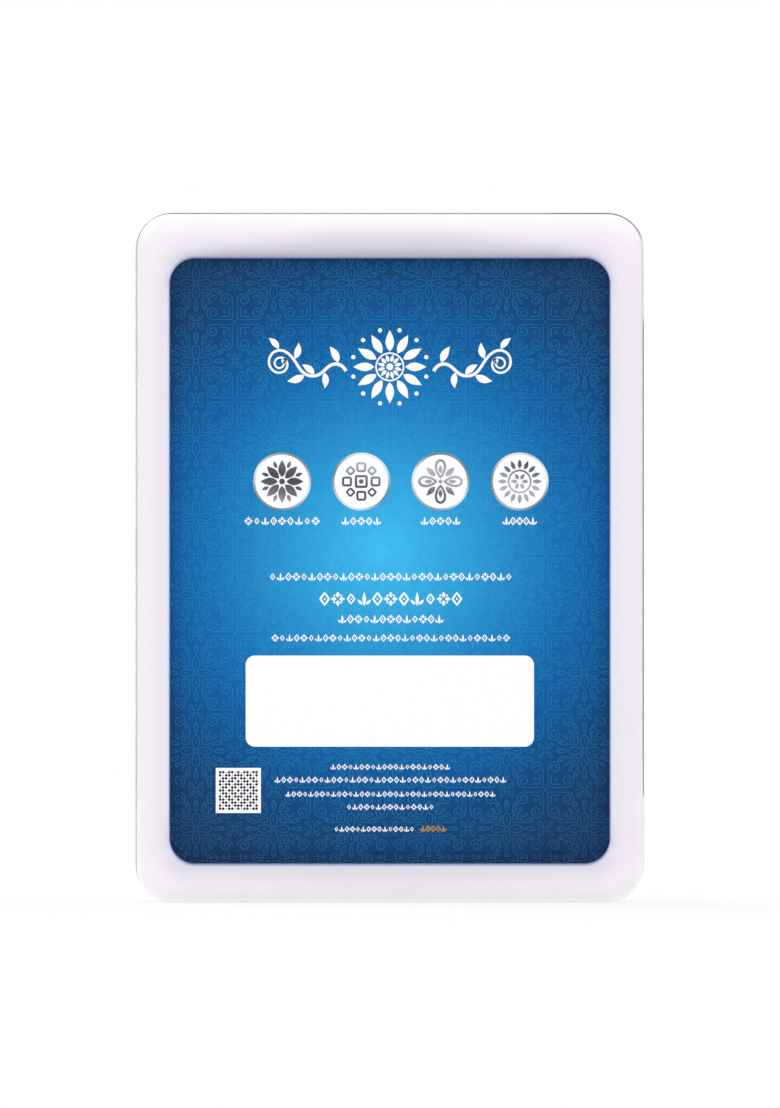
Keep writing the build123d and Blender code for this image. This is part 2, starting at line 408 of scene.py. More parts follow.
def windowFootShade(z, away):
    # a thin dark line of painted shade in the crease at the foot of the upper and lower edges
    lower = fade(z, 9.0, 12.0, clearCase["lowerFootShade"], 0.0)
    upper = fade(z, 137.0, 140.0, 0.0, clearCase["upperFootShade"])
    return times(calc("ADD", lower, upper), band(away, 0.05, 0.4, 0.12))


def lineShadeStrength(x, z, upper, printedSide):
    # the painted shade of the edge lines is faint along the sides and darkest round the upper right corner
    look = clearCase
    sides = fade(x, -50.0, 50.0, *look["sideLines"])
    top = fade(x, 30.0, 48.0, *look["topLines"])
    strength = calc("MULTIPLY_ADD", upper, calc("SUBTRACT", top, sides), sides)
    if printedSide:
        # the hinge film is one dark line of painted shade
        lengthwise = calc("ABSOLUTE", calc("SUBTRACT", z, look["outline"][2]))
        film = fade(lengthwise, look["hingeHalf"] - 4, look["hingeHalf"] - 1, look["filmLine"], 0.0)
        film = times(film, fade(x, 54.8, 54.95))
        strength = calc("MAXIMUM", strength, film)
    return strength


def clearPlastic(name, printedSide):
    look = clearCase
    places = newMaterial(name)
    x, y, z = axesOf(places)
    away = outlineDistance(x, z, look["window"])
    edge = outlineDistance(x, z, look["outline"])
    depth = calc("ABSOLUTE", y)
    # the steep wall to the left and right of the window hides what is behind it
    beside = times(fade(z, 12.0, 20.0), fade(z, 128.0, 136.0, 1.0, 0.0))
    steep = times(beside, fade(away, 0.1, 2.2, look["steepAlpha"], 0.0))
    rimAlpha = fade(depth, *look["rimDepth"], look["sideAlpha"], look["rimAlpha"])
    rimShare = fade(away, -0.15, 0.15)
    alpha = times(rimShare, calc("ADD", rimAlpha, steep))
    cloud = times(noise(places, 0.055, 2.0), 0.3)
    # the rim's tone, with a painted glint and painted shade near the window's edge
    colour = ramp(mapped(away, *look["rimSpan"]), look["rimGlintAndShadeTones"])
    colour = mixTone(cloud, colour, look["cloudTone"])
    # the straight walls take a grey painted shade
    colour = mixTone(fade(depth, *look["milkyDepth"]), look["wallShadeTone"], colour)
    colour = mixTone(windowShade(x, z, away), colour, look["shadeTone"])
    colour = mixTone(windowFootShade(z, away), colour, look["footShadeTone"])
    # two thin lines of painted shade, where the wall meets the flange and where the flange ends
    colour = mixTone(fade(edge, 0.0, 0.08), colour, look["flangeTone"])
    inner, outer = band(edge, 0.04, 0.12, 0.04), band(edge, 0.3, 0.46, 0.04)
    lines = calc("MAXIMUM", inner, outer)
    upper = fade(z, 143.0, 148.0)
    lineShadeTone = mixTone(upper, look["sideLineShadeTone"], look["topLineShadeTone"])
    colour = mixTone(times(lines, 0.9), colour, lineShadeTone)
    alpha = calc("MULTIPLY_ADD", lines, lineShadeStrength(x, z, upper, printedSide), alpha)
    facing = put("LayerWeight", {"Blend": 0.5}).outputs["Facing"]
    glare = times(calc("POWER", facing, 3.0), look["glare"])
    return finished(put("BsdfPrincipled", {
        "Base Color": colour,
        "Roughness": fade(noise(places, 0.4, 4.0), 0.3, 0.7, 0.07, 0.16),
        "Alpha": calc("MINIMUM", calc("ADD", alpha, glare), 1.0),
        "IOR": 1.46,
        "Normal": bump(noise(places, 0.09, 2.0), 0.12, 0.4),
    }))


dress(["back_shell"], clearPlastic("clearPlasticBack", True))
dress(["front_cover"], clearPlastic("clearPlasticFront", False))
print("case halves dressed")


# white display tray and stand: satin sheet with a fine moulded grain
whiteTray = {
    "tone": tone(242, 240, 244),
    "shade": tone(237, 234, 240),
    "grain": 1.6,
    "roughness": (0.38, 0.52),
    "nodes": ["display_tray", "display_step", "display_plinth"],
}


def satinSheet():
    look = whiteTray
    places = newMaterial("satinSheet")
    grain = put("TexVoronoi", {"Vector": places, "Scale": look["grain"]}).outputs["Distance"]
    cloud = fade(noise(places, 0.03, 3.0), 0.35, 0.7)
    return finished(put("BsdfPrincipled", {
        "Base Color": mixTone(cloud, look["tone"], look["shade"]),
        "Roughness": fade(noise(places, 0.5, 3.0), 0.3, 0.7, *look["roughness"]),
        "Normal": bump(grain, 0.25, 0.06),
    }))


dress(whiteTray["nodes"], satinSheet())
print("tray and stand dressed")


# printed card: a round blue glow on a dark blue ground
printedCard = {
    "glow": (-1.3, 76.4),  # middle of the glow, x and z
    "reach": 80.0,
    # stops of the glow: share of its reach and colour
    "ground": [
        (0.0, 65, 192, 242), (0.163, 53, 170, 223), (0.271, 42, 151, 208),
        (0.38, 32, 131, 193), (0.489, 22, 112, 177), (0.584, 18, 95, 161),
        (0.665, 18, 85, 146), (0.746, 20, 72, 123), (0.895, 26, 60, 101),
        (1.0, 27, 53, 92),
    ],
    "lines": [
        (0.0, 65, 192, 242), (0.271, 48, 158, 213), (0.489, 33, 128, 188),
        (0.665, 31, 110, 167), (0.895, 34, 89, 131), (1.0, 35, 84, 122),
    ],
    "fibreTone": tone(12, 52, 104),
    # a thin line of painted shade on the card along the raised pane's edge, stronger below than above
    "paneShadeLine": (-2.32, -2.2, 0.12),
    "paneShadeShare": (0.5, 0.2),
    "paneShadeTone": tone(10, 34, 74),
}


def glowDistance(x, z):
    glowX, glowZ = printedCard["glow"]
    away = lengthOf(calc("SUBTRACT", x, glowX), calc("SUBTRACT", z, glowZ))
    return calc("DIVIDE", away, printedCard["reach"])


def printedBoard(name, stops, unevenness):
    look = printedCard
    places = newMaterial(name)
    x, y, z = axesOf(places)
    fibre = noise(places, 0.7, 3.0)
    colour = ramp(glowDistance(x, z), stops)
    colour = mixTone(fade(fibre, 0.3, 0.75, 0.0, unevenness), colour, look["fibreTone"])
    # painted shade along the raised pane's edge
    paneShade = band(outlineDistance(x, z, clearCase["window"]), *look["paneShadeLine"])
    paneShade = times(paneShade, fade(z, 20.0, 60.0, *look["paneShadeShare"]))
    return finished(put("BsdfPrincipled", {
        "Base Color": mixTone(paneShade, colour, look["paneShadeTone"]),
        "Roughness": fade(fibre, 0.3, 0.7, 0.5, 0.62),
        "Specular IOR Level": 0.04,
        "Normal": bump(fibre, 0.06, 0.02),
    }))


def paperLook(name, light, dark, scale, roughness):
    # paper or solid ink: two near tones mixed by fibres, with a faint tooth
    places = newMaterial(name)
    fibre = noise(places, scale, 5.0, 0.62)
    return finished(put("BsdfPrincipled", {
        "Base Color": mixTone(fade(fibre, 0.3, 0.72), light, dark),
        "Roughness": fade(fibre, 0.3, 0.7, roughness - 0.06, roughness + 0.06),
        "Specular IOR Level": 0.15,
        "Normal": bump(fibre, 0.1, 0.02),
    }))


# grey print that runs from light to dark in soft waves across the seals
sealInk = {
    "height": 91.3,
    "wave": 0.42,
    "marks": [(0.0, 78, 78, 82), (0.5, 118, 118, 122), (1.0, 176, 176, 180)],
    "markSlant": 0.2,
    "rims": [(0.0, 128, 136, 142), (0.6, 182, 188, 192), (1.0, 226, 230, 232)],
    "rimSlant": 0.5,
}


def shadedInk(name, stops, slant):
    places = newMaterial(name)
    x, y, z = axesOf(places)
    across = calc("MULTIPLY_ADD", x, slant, calc("SUBTRACT", z, sealInk["height"]))
    wave = calc("SINE", times(across, sealInk["wave"]))
    return finished(put("BsdfPrincipled", {
        "Base Color": ramp(calc("MULTIPLY_ADD", wave, 0.5, 0.5), stops),
        "Roughness": fade(noise(places, 0.8, 3.0), 0.3, 0.7, 0.42, 0.54),
        "Specular IOR Level": 0.12,
    }))


dress(["certificate_card"], printedBoard("printedBoard", printedCard["ground"], 0.08))
lineInk = printedBoard("patternInk", printedCard["lines"], 0.05)
labelPaper = paperLook("labelPaper", tone(254, 254, 254), tone(250, 250, 251), 0.8, 0.6)
whiteInk = paperLook("whiteInk", tone(252, 253, 254), tone(246, 249, 252), 0.9, 0.55)
darkInk = paperLook("darkInk", tone(30, 30, 34), tone(46, 46, 52), 0.9, 0.55)
goldInk = paperLook("goldInk", tone(206, 160, 62), tone(178, 130, 40), 0.9, 0.5)
markInk = shadedInk("markInk", sealInk["marks"], sealInk["markSlant"])
ringInk = shadedInk("ringInk", sealInk["rims"], sealInk["rimSlant"])
dress(["blank_label", "code_label"], labelPaper)
print("card and labels dressed")


# print on the card: flat shapes before its face, each layer a little nearer to the window
cardPrint = {
    "face": -20.85,
    "labelFace": -20.95,
    "layers": {"pattern": 0.02, "white": 0.036, "leaves": 0.046, "ring": 0.056, "emblem": 0.066},
    "dotLayer": 0.015,
    # left, right, bottom and top of the two labels
    "labels": [(-31.3, 31.3, 33.7, 53.5), (-37.8, -28.0, 19.3, 29.1)],
}


def putPrint(name, shape, y, material):
    points, quads = shape
    flat = np.stack([points[:, 0], np.full(len(points), y), points[:, 1]], axis=-1)
    return putPiece(name, flat, quads.tolist(), "case_back", material)


def keepInside(shape, test):
    # only the quads with all corners where test is true, and the points that they use
    points, quads = shape
    quads = quads[test(points)[quads].all(axis=1)]
    used, where = np.unique(quads, return_inverse=True)
    return points[used], where.reshape(quads.shape)


# ground pattern: flowers and scrolled crosses in turn, with small stars between them
groundPattern = {
    "pitch": (16.87, 16.93),
    "first": (-58.97, 151.33),
    "columns": 8,
    "rows": 11,
    "line": 0.24,
    "fineLine": 0.216,
    "beadLine": 0.192,
    "eyeLine": 0.168,
    "margin": 0.08,
    # start, end, half width, steps and swell of the drops
    "almond": (0.35, 3.35, 0.95, 24, 0.2),
    "longDrop": (3.65, 6.15, 0.58, 20, 0.6),
    "shortDrop": (4.4, 5.5, 0.44, 14, 0.6),
    "starDrop": (0.3, 2.1, 0.4, 16),
    "longTurns": (0.0, 20.5, -20.5),
    "shortTurns": (36.6, 53.4),
    "scroll": (0.53, 6.25, 1.42, 1.6, 34),  # gap, reach, curl, turns and steps
    "innerCorner": [(3.3, 1.1), (2.6, 1.22), (1.5, 1.25), (1.25, 1.5), (1.22, 2.6), (1.1, 3.3)],
}


def patternFlower():
    # four almonds and four round squares about the middle, inside a circle of drops with an eye
    look = groundPattern
    line = look["line"]
    longDrop = joinShapes(
        ribbon(petalLine(*look["longDrop"]), look["fineLine"], True),
        moved(ring(0.19, look["eyeLine"], 9), 5.5),
    )
    shortDrop = ribbon(petalLine(*look["shortDrop"]), look["fineLine"], True)
    return joinShapes(
        spin(ribbon(petalLine(*look["almond"]), line, True), 4),
        spin(ribbon(run((1.5, 0), (2.6, 0), 2), look["beadLine"]), 4),
        spin(moved(ribbon(squareLine(0.9, 0.45), line, True), 2.28, 2.28), 4),
        spin(moved(ring(0.36, look["beadLine"], 12), 2.35, 2.35), 4),
        *[spin(longDrop, 4, math.radians(turn)) for turn in look["longTurns"]],
        *[spin(shortDrop, 4, math.radians(turn)) for turn in look["shortTurns"]],
    )


def patternCross():
    # four corners of two lines each, whose ends roll up, with a small square corner inside
    look = groundPattern
    scroll = scrollLine(*look["scroll"])
    corner = np.concatenate([scroll[:0:-1, ::-1], scroll])
    return joinShapes(
        spin(ribbon(corner, look["line"]), 4),
        spin(ribbon(look["innerCorner"], look["line"]), 4),
        spin(moved(ring(0.3, look["beadLine"], 12), 2.3, 2.3), 4),
        ring(0.28, look["beadLine"], 12),
    )


def patternStar():
    # four small drops set crosswise, with a bead between each two
    drop = ribbon(petalLine(*groundPattern["starDrop"]), groundPattern["fineLine"], True)
    return joinShapes(spin(drop, 4, math.pi / 4), spin(moved(disc(0.17, 4), 1.5), 4))


def onCard(points):
    # inside the card's rounded outline, and clear of the stuck-on labels
    halfWidth, halfHeight, middle, corner = clearCase["window"]
    over = np.abs(points - np.array([0, middle])) - np.array([halfWidth - corner, halfHeight - corner])
    outside = np.linalg.norm(np.maximum(over, 0), axis=1) + np.minimum(over.max(axis=1), 0) - corner
    free = outside < -groundPattern["margin"]
    x, z = points.T
    for left, right, low, high in cardPrint["labels"]:
        free &= ~((x > left) & (x < right) & (z > low) & (z < high))
    return free


def layPattern():
    pitch = np.array(groundPattern["pitch"])
    column, row = np.meshgrid(np.arange(groundPattern["columns"]), np.arange(groundPattern["rows"]))
    knots = np.stack([column.ravel(), -row.ravel()], axis=-1) * pitch + np.array(groundPattern["first"])
    shape = joinShapes(
        repeatAt(patternFlower(), knots),
        repeatAt(patternCross(), knots + pitch * (0.5, -0.5)),
        repeatAt(patternStar(), knots + pitch * (0.5, 0)),
        repeatAt(patternStar(), knots + pitch * (0, -0.5)),
    )
    return keepInside(shape, onCard)


layer = {name: cardPrint["face"] - lift for name, lift in cardPrint["layers"].items()}
putPrint("cardGroundPattern", layPattern(), layer["pattern"], lineInk)
print("ground pattern laid")


# a plain white ornament in the upper field: a rosette between two leafy scrolls
headOrnament = {
    "middle": (0.0, 116.2),
    "petals": 12,
    "stem": 0.66,
    "taper": (1.1, 0.6),
    "stemLength": 36.5,
    "stemStart": (9.4, -1.2),
    "stemPoints": 120,
    "smoothing": 5,
    # the stem's heading in degrees at some shares of its length
    "turnShares": [0, 0.15, 0.34, 0.46, 0.55, 0.68, 0.8, 0.9, 1.0],
    "headings": [76, -62, 66, 40, -45, -150, -290, -440, -660],
    # place along the stem, side and length of each leaf
    "leaves": [(8, 1, 3.9), (20, -1, 3.4), (27, 1, 3.4), (34, -1, 3.9), (47, 1, 3.5), (60, 1, 3.2)],
    "leafWidth": 0.42,
    "leafBend": 0.3,
    "leafTurn": 0.85,
}


def headRosette():
    count = headOrnament["petals"]
    between = math.pi / count
    outer = spin(leaf(4.6, 1.85, 0.0, 3.35), count)
    inner = spin(leaf(1.7, 0.75, 0.0, 1.05), count, between)
    beads = spin(moved(disc(0.46, 8), 8.2), count, between)
    return joinShapes(outer, inner, beads, ring(2.98, 0.34, 36), disc(0.75, 12))


def headStem():
    # a growing line: steps along a smoothed heading, which swings over, under and rolls up
    look = headOrnament
    share = np.linspace(0, 1, look["stemPoints"])
    heading = np.pad(np.interp(share, look["turnShares"], look["headings"]), look["smoothing"], mode="edge")
    width = 2 * look["smoothing"] + 1
    heading = np.radians(np.convolve(heading, np.ones(width) / width, mode="valid"))
    step = look["stemLength"] / (len(share) - 1)
    steps = np.stack([np.cos(heading), np.sin(heading)], axis=-1) * step
    return np.cumsum(steps, axis=0) + np.array(look["stemStart"]), heading


def headScroll():
    look = headOrnament
    line, heading = headStem()
    stem = look["stem"]
    vine = joinShapes(
        ribbon(line, stem * np.linspace(*look["taper"], len(line))),
        moved(disc(0.6, 8), *line[-1]),
    )
    leaves = []
    for spot, side, size in look["leaves"]:
        across = np.array([-math.sin(heading[spot]), math.cos(heading[spot])])
        blade = leaf(size, size * look["leafWidth"], side * look["leafBend"])
        blade = spin(blade, 1, heading[spot] + side * look["leafTurn"])
        leaves.append(moved(blade, *(line[spot] + across * side * stem / 2)))
    return vine, joinShapes(*leaves)


def layHead():
    vine, leaves = headScroll()
    lines = joinShapes(headRosette(), vine, mirrored(vine))
    blades = joinShapes(leaves, mirrored(leaves))
    return moved(lines, *headOrnament["middle"]), moved(blades, *headOrnament["middle"])


# four round white seals with plain geometric rosettes
sealRow = {"x": [-23.4, -6.2, 11.0, 28.2], "radius": 6.3, "rim": 0.46}


def sealEmblems():
    # a leaf wheel, a set of tiles, a four-looped flower and a sun
    wheel = joinShapes(
        spin(leaf(3.7, 1.65, 0, 0.95), 8),
        spin(leaf(1.7, 0.75, 0, 3.1), 8, math.pi / 8),
        disc(0.62, 10),
    )
    tiles = joinShapes(
        ribbon(squareLine(1.15, 0.2), 0.5, True),
        spin(moved(ribbon(squareLine(0.85, 0.3), 0.45, True), 3.1), 4),
        spin(moved(ribbon(squareLine(0.62, 0.2), 0.4, True), 3.3), 4, math.pi / 4),
        disc(0.5, 8),
    )
    flower = joinShapes(
        spin(ribbon(petalLine(0.95, 4.6, 1.2, 24), 0.5, True), 4),
        spin(leaf(1.8, 0.8, 0, 1.75), 4),
        spin(leaf(2.7, 1.15, 0, 1.6), 4, math.pi / 4),
        disc(0.45, 8),
    )
    sun = joinShapes(
        spin(leaf(2.0, 0.85, 0, 2.8), 16),
        ring(2.4, 0.36, 32),
        spin(leaf(1.4, 0.8, 0, 0.5), 6),
    )
    return [wheel, tiles, flower, sun]


def laySeals():
    radius, rim = sealRow["radius"], sealRow["rim"]
    middles = [(x, sealInk["height"]) for x in sealRow["x"]]
    discs = repeatAt(disc(radius, 24), middles)
    rims = repeatAt(ring(radius - rim / 2, rim, 48), middles)
    emblems = [moved(shape, *middle) for shape, middle in zip(sealEmblems(), middles)]
    return discs, rims, joinShapes(*emblems)


# rows of small marks where the card has its lines: middle, height, half width and mark size
markRows = {
    "white": [
        (-23.4, 82.7, 8.2, 1.9), (-6.2, 82.7, 4.3, 1.9), (11.0, 82.7, 4.3, 1.9), (28.2, 82.7, 3.6, 1.9),
        (0.2, 70.6, 26.5, 1.9), (0.2, 65.8, 15.8, 3.1), (0.2, 61.4, 11.4, 2.0), (0.2, 57.3, 25.9, 1.7),
        (0.1, 29.3, 13.0, 1.35), (0.1, 26.5, 25.2, 1.45), (0.1, 23.4, 22.8, 1.35), (0.1, 20.6, 9.6, 1.4),
        (-3.4, 15.8, 8.8, 1.3),
    ],
    "gold": (9.4, 15.9, 2.8, 1.45),
    # all in shares of the mark size
    "stroke": 0.15,
    "bead": 0.07,
    "pitch": 0.92,
    "smallMark": 0.8,
    "halfLozenge": [(0.36, 0), (0.18, 0.25), (0, 0.5), (-0.18, 0.25)],
}


def lozengeMark(size):
    stroke = size * markRows["stroke"]
    half = np.array(markRows["halfLozenge"])
    corners = np.concatenate([half, -half, half[:1]])
    return joinShapes(ribbon(corners * (size - stroke), stroke, True), disc(size * markRows["bead"], 4))


def flowerMark(size):
    beads = spin(moved(disc(size * markRows["bead"], 4), size * 0.34), 4, math.pi / 4)
    return joinShapes(spin(leaf(size * 0.4, size * 0.27, 0, size * 0.1, 6), 4), beads)


def sprigMark(size):
    side = moved(spin(leaf(size * 0.48, size * 0.2, -0.2), 1, 0.8), size * 0.12, -size * 0.38)
    middle = spin(leaf(size, size * 0.24, 0, -size * 0.5, 6), 1, math.pi / 2)
    return joinShapes(middle, side, mirrored(side))


def markRow(x, z, half, size):
    # marks in a fixed order, the same to the left and to the right of the middle
    small = lozengeMark(size * markRows["smallMark"])
    marks = [flowerMark(size), lozengeMark(size), sprigMark(size), small]
    count = max(1, round(half / (size * markRows["pitch"]) - 0.5))
    pitch = half / (count + 0.5)
    side = joinShapes(*[moved(marks[k % len(marks)], k * pitch) for k in range(1, count + 1)])
    return moved(joinShapes(marks[0], side, mirrored(side)), x, z)


# the small square label carries large and small dots, in diamonds about its middle
codeField = {"middle": (-32.9, 24.2), "count": 13, "pitch": 0.66, "large": 0.29, "small": 0.12}


def layDots():
    pitch = codeField["pitch"]
    places = (np.arange(codeField["count"]) - codeField["count"] // 2) * pitch
    x, z = (grid.ravel() for grid in np.meshgrid(places, places))
    diamond = np.round((np.abs(x) + np.abs(z)) / pitch).astype(int)
    isSmall = diamond % 3 == 1
    centres = np.stack([x, z], axis=-1) + np.array(codeField["middle"])
    large = repeatAt(disc(codeField["large"], 6), centres[~isSmall])
    return joinShapes(large, repeatAt(disc(codeField["small"], 6), centres[isSmall]))


headLines, headLeaves = layHead()
sealDiscs, sealRims, sealMarks = laySeals()
whiteRows = joinShapes(*[markRow(*row) for row in markRows["white"]])
putPrint("cardHeadLines", headLines, layer["white"], whiteInk)
putPrint("cardHeadLeaves", headLeaves, layer["leaves"], whiteInk)
putPrint("cardSealDiscs", sealDiscs, layer["white"], whiteInk)
putPrint("cardSealRims", sealRims, layer["ring"], ringInk)
putPrint("cardSealMarks", sealMarks, layer["emblem"], markInk)
putPrint("cardMarkRows", whiteRows, layer["white"], whiteInk)
putPrint("cardGoldRow", markRow(*markRows["gold"]), layer["white"], goldInk)
putPrint("codeLabelDots", layDots(), cardPrint["labelFace"] - cardPrint["dotLayer"], darkInk)
print("card printed")


# silver holder: turned skins with raised petals and beads
silverHolder = {
    "axis": (0.0, -0.15),
    # heights
    "seat": 48.4,
    "bowlFoot": 54.4,
    "belly": 65.4,
    "shoulder": 72.9,
    "mouth": 75.1,
    "brim": 75.8,
    "crown": 85.3,
    # radii
    "footRadius": 13.0,
    "waistRadius": 7.5,
    "baseRadius": 8.0,
    "bellyRadius": 18.0,
    "mouthRadius": 14.0,
    "collarRadius": 14.55,
    "brimRadius": 17.1,
    "crownRadius": 3.0,
    "wall": 0.35,
    "petals": 16,
    "columns": 18,  # grid columns for each petal
    "relief": 0.34,
    "sharpAngle": 50.0,
    "polished": tone(247, 245, 241),
    "clouded": tone(230, 226, 220),
    # tone of the painted shade in the hollows of the relief
    "hollowShadeTone": tone(122, 117, 112),
}


def silverLook(name, streak, polish):
    # polished silver: fine turning marks, a little cloud, and painted shade that darkens the hollows of the
    # relief
    look = silverHolder
    places = newMaterial(name)
    stretched = put("VectorMath", {0: places, 1: (0.05, 0.05, streak)}, operation="MULTIPLY")
    lines = noise(stretched.outputs[0], 1.0, 4.0, 0.65)
    cloud = fade(noise(places, 0.16, 4.0, 0.6), 0.35, 0.75)
    hollow = put("Attribute", attribute_name="hollow").outputs["Fac"]
    colour = mixTone(cloud, look["polished"], look["clouded"])
    marks = fade(lines, 0.3, 0.7, polish, polish + 0.1)
    return finished(put("BsdfPrincipled", {
        "Base Color": mixTone(times(hollow, 0.75), colour, look["hollowShadeTone"]),
        "Metallic": 1.0,
        "Roughness": calc("ADD", marks, times(hollow, 0.16)),
        "Normal": bump(lines, 0.05, 0.02),
    }))


turnedSilver = silverLook("turnedSilver", 9.0, 0.13)
chasedSilver = silverLook("chasedSilver", 3.0, 0.15)


def putSilver(name, made, body, replaced):
    # made is a surface and the share of painted shade at each of its points
    (points, faces), hollow = made
    piece = putPiece(name, points, faces, body, chasedSilver, silverHolder["sharpAngle"])
    shares = piece.data.attributes.new("hollow", "FLOAT", "POINT")
    shares.data.foreach_set("value", hollow.astype(np.float32))
    for nodeName in replaced:
        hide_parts(nodeName)


def softStep(value, low, high):
    share = np.clip((value - low) / (high - low), 0, 1)
    return share * share * (3 - 2 * share)


def bell(value, middle, width):
    return np.exp(-(((value - middle) / width) ** 2))


def petalRelief(angle, share, count, begin, end, shift=0.0, tip=2.4):
    # a row of pointed petals: each is raised within its own width, which closes towards the tip,
    # and a rib runs up its middle
    place = np.mod(angle * count / fullTurn + shift, 1.0) - 0.5
    up = np.clip((share - begin) / (end - begin), 0, 1)
    half = 0.5 * np.sqrt(np.clip(1 - up**tip, 0, 1)) * (0.72 + 0.28 * softStep(up, 0, 0.35))
    inside = np.clip(half - np.abs(place), 0, None)
    edge = softStep(inside, 0.0, 0.11)
    rib = 0.3 * bell(place, 0.0, 0.05) * softStep(half, 0.08, 0.3)
    window = softStep(up, 0.0, 0.06) * (share < end)
    return (edge * (0.75 - 0.25 * np.cos(np.clip(place / 0.5, -1, 1) * math.pi)) + rib * edge) * window


def hollowShadeOf(lift, low, high, full, most=1.0):
    # painted shade between two steps of the profile, the darker the less the relief lifts the skin there
    steps = np.arange(len(lift))[:, None]
    return np.where((steps > low) & (steps < high), np.clip(1 - lift / full, 0, 1) * most, 0)


def makeBowl():
    h = silverHolder
    wall, low, belly, shoulder, mouth = h["wall"], h["bowlFoot"], h["belly"], h["shoulder"], h["mouth"]
    base, wide, neck = h["baseRadius"], h["bellyRadius"], h["mouthRadius"]
    floorSteps, lowerSteps, upperSteps, neckSteps = 6, 52, 26, 6
    outer = profileOf(
        run((0, low), (base, low), floorSteps),
        bow((wide, belly), (base, low), (0, -1), lowerSteps)[::-1],
        bow((wide, belly), (neck, shoulder), (0, 1), upperSteps),
        run((neck, shoulder), (neck, mouth - 0.12), neckSteps),
    )
    inner = profileOf(
        run((neck - 0.1, mouth), (neck - wall + 0.1, mouth), 2),
        run((neck - wall, mouth - 0.1), (neck - wall, shoulder - wall), 4),
        bow((wide - wall, belly), (neck - wall, shoulder - wall), (0, 1), 14)[::-1],
        bow((wide - wall, belly), (base, low + wall), (0, -1), 20),
        run((base, low + wall), (0, low + wall), 3),
    )
    profile = np.concatenate([outer, inner])
    bellyStep = floorSteps + lowerSteps
    shoulderStep = bellyStep + upperSteps

    def relief(angle, at):
        # the lower arc holds two rows of petals, the shoulder a fluted band
        up = (at - floorSteps) / lowerSteps
        behind = petalRelief(angle, up, h["petals"], 0.02, 0.97, 0.5) * 0.62
        front = petalRelief(angle, up, h["petals"], 0.02, 0.8)
        petals = np.maximum(behind, front) * h["relief"]
        over = (at - bellyStep) / upperSteps
        flutes = 0.22 * (0.5 + 0.5 * np.cos(angle * h["petals"] * 2)) ** 2
        flutes = flutes * softStep(over, 0.16, 0.3) * softStep(1 - over, 0.06, 0.3)
        return np.where(at < bellyStep + 0.5, petals, flutes) * (at < shoulderStep)

    lift = liftOf(relief, profile, h["petals"] * h["columns"])
    hidden = hollowShadeOf(lift, floorSteps, bellyStep - 1, 0.5 * h["relief"])
    hidden += hollowShadeOf(lift, bellyStep + 4, shoulderStep - 3, 0.08, 0.6)
    hollow = np.concatenate([hidden[1:-1].ravel(), [0, 0]])
    return turnSurface(profile, lift, h["axis"]), hollow


def makeBelt(bead=0.5, waist=0.2, count=96, columns=8, rows=10):
    # a ring whose round section swells and shrinks along its length, so that it reads as beads
    h = silverHolder
    angle = np.arange(count * columns) * fullTurn / (count * columns)
    swell = np.sqrt(np.clip(1 - (2 * np.mod(angle * count / fullTurn, 1) - 1) ** 2, 0.02, 1))
    section = np.arange(rows)[:, None] * fullTurn / rows
    size = waist + (bead - waist) * swell
    radius = h["bellyRadius"] + 0.12 + size * np.cos(section)
    height = h["belly"] + 0.1 + size * np.sin(section)
    grid = np.stack([radius * np.cos(angle), radius * np.sin(angle), height], axis=-1)
    points = grid.reshape(-1, 3) + np.array([*h["axis"], 0])
    # painted shade between the beads
    hollow = np.clip(1.25 - swell * 1.4, 0, 1) + 0 * section
    return (points, wrapQuads(rows, count * columns).reshape(-1, 4).tolist()), hollow.ravel()


def makeCollar(beads=50, columns=8):
    # a rounded band with a bead string round its middle
    h = silverHolder
    low, high = h["mouth"] - 1.7, h["mouth"] - 0.1
    inner, outer = h["mouthRadius"], h["collarRadius"]
    profile = profileOf(
        run((inner, low), (outer, low), 3),
        bow((outer, low), (outer, high), (1, 0), 14),
        run((outer, high), (inner, high), 3),
    )
    middleStep = (len(profile) - 1) / 2
    stringWidth = 0.16 * (len(profile) - 1)

    def swell(angle):
        return np.abs(np.cos(angle * beads / 2))

    def relief(angle, at):
        return (0.18 * swell(angle) ** 0.6 - 0.1) * bell(at, middleStep, stringWidth)

    def shade(angle, at):
        return bell(at, middleStep, stringWidth) * np.clip(1 - swell(angle) * 1.6, 0, 1)

    lift = liftOf(relief, profile, beads * columns)
    return turnSurface(profile, lift, h["axis"], True), liftOf(shade, profile, beads * columns).ravel()


def makeFoot(leaves=24, columns=12):
    # the spun foot: reeded lip, hollow arc with long leaves, open top
    h = silverHolder
    wall, seat, top, wide, waist = h["wall"], h["seat"], h["bowlFoot"], h["footRadius"], h["waistRadius"]
    outer = profileOf(
        run((wide - wall, seat), (wide - 0.1, seat), 1),
        run((wide, seat + 0.1), (wide, seat + 1.1), 4),
        bow((wide - 0.1, seat + 1.2), (waist, top), (-1, 0), 30),
        run((waist, top), (3, top), 4),
    )
    inner = profileOf(
        run((3, top - wall), (waist - wall, top - wall), 3),
        bow((wide - wall, seat + 1.2 - wall), (waist - wall, top - wall), (-1, 0), 14)[::-1],
        run((wide - wall, seat + 1.1 - wall), (wide - wall, seat), 2),
    )
    profile = np.concatenate([outer, inner[:-1]])
    lipStep, waistStep = 7, 35

    def relief(angle, at):
        down = 1 - (at - lipStep) / (waistStep - lipStep)
        raised = petalRelief(angle, down, leaves, 0.05, 0.95, 0.0, 2.0) * 0.22
        return np.where((at > lipStep) & (at < waistStep), raised, 0)

    lift = liftOf(relief, profile, leaves * columns)
    hollow = hollowShadeOf(lift, lipStep + 1, waistStep - 1, 0.1, 0.9)
    return turnSurface(profile, lift, h["axis"], True), hollow.ravel()


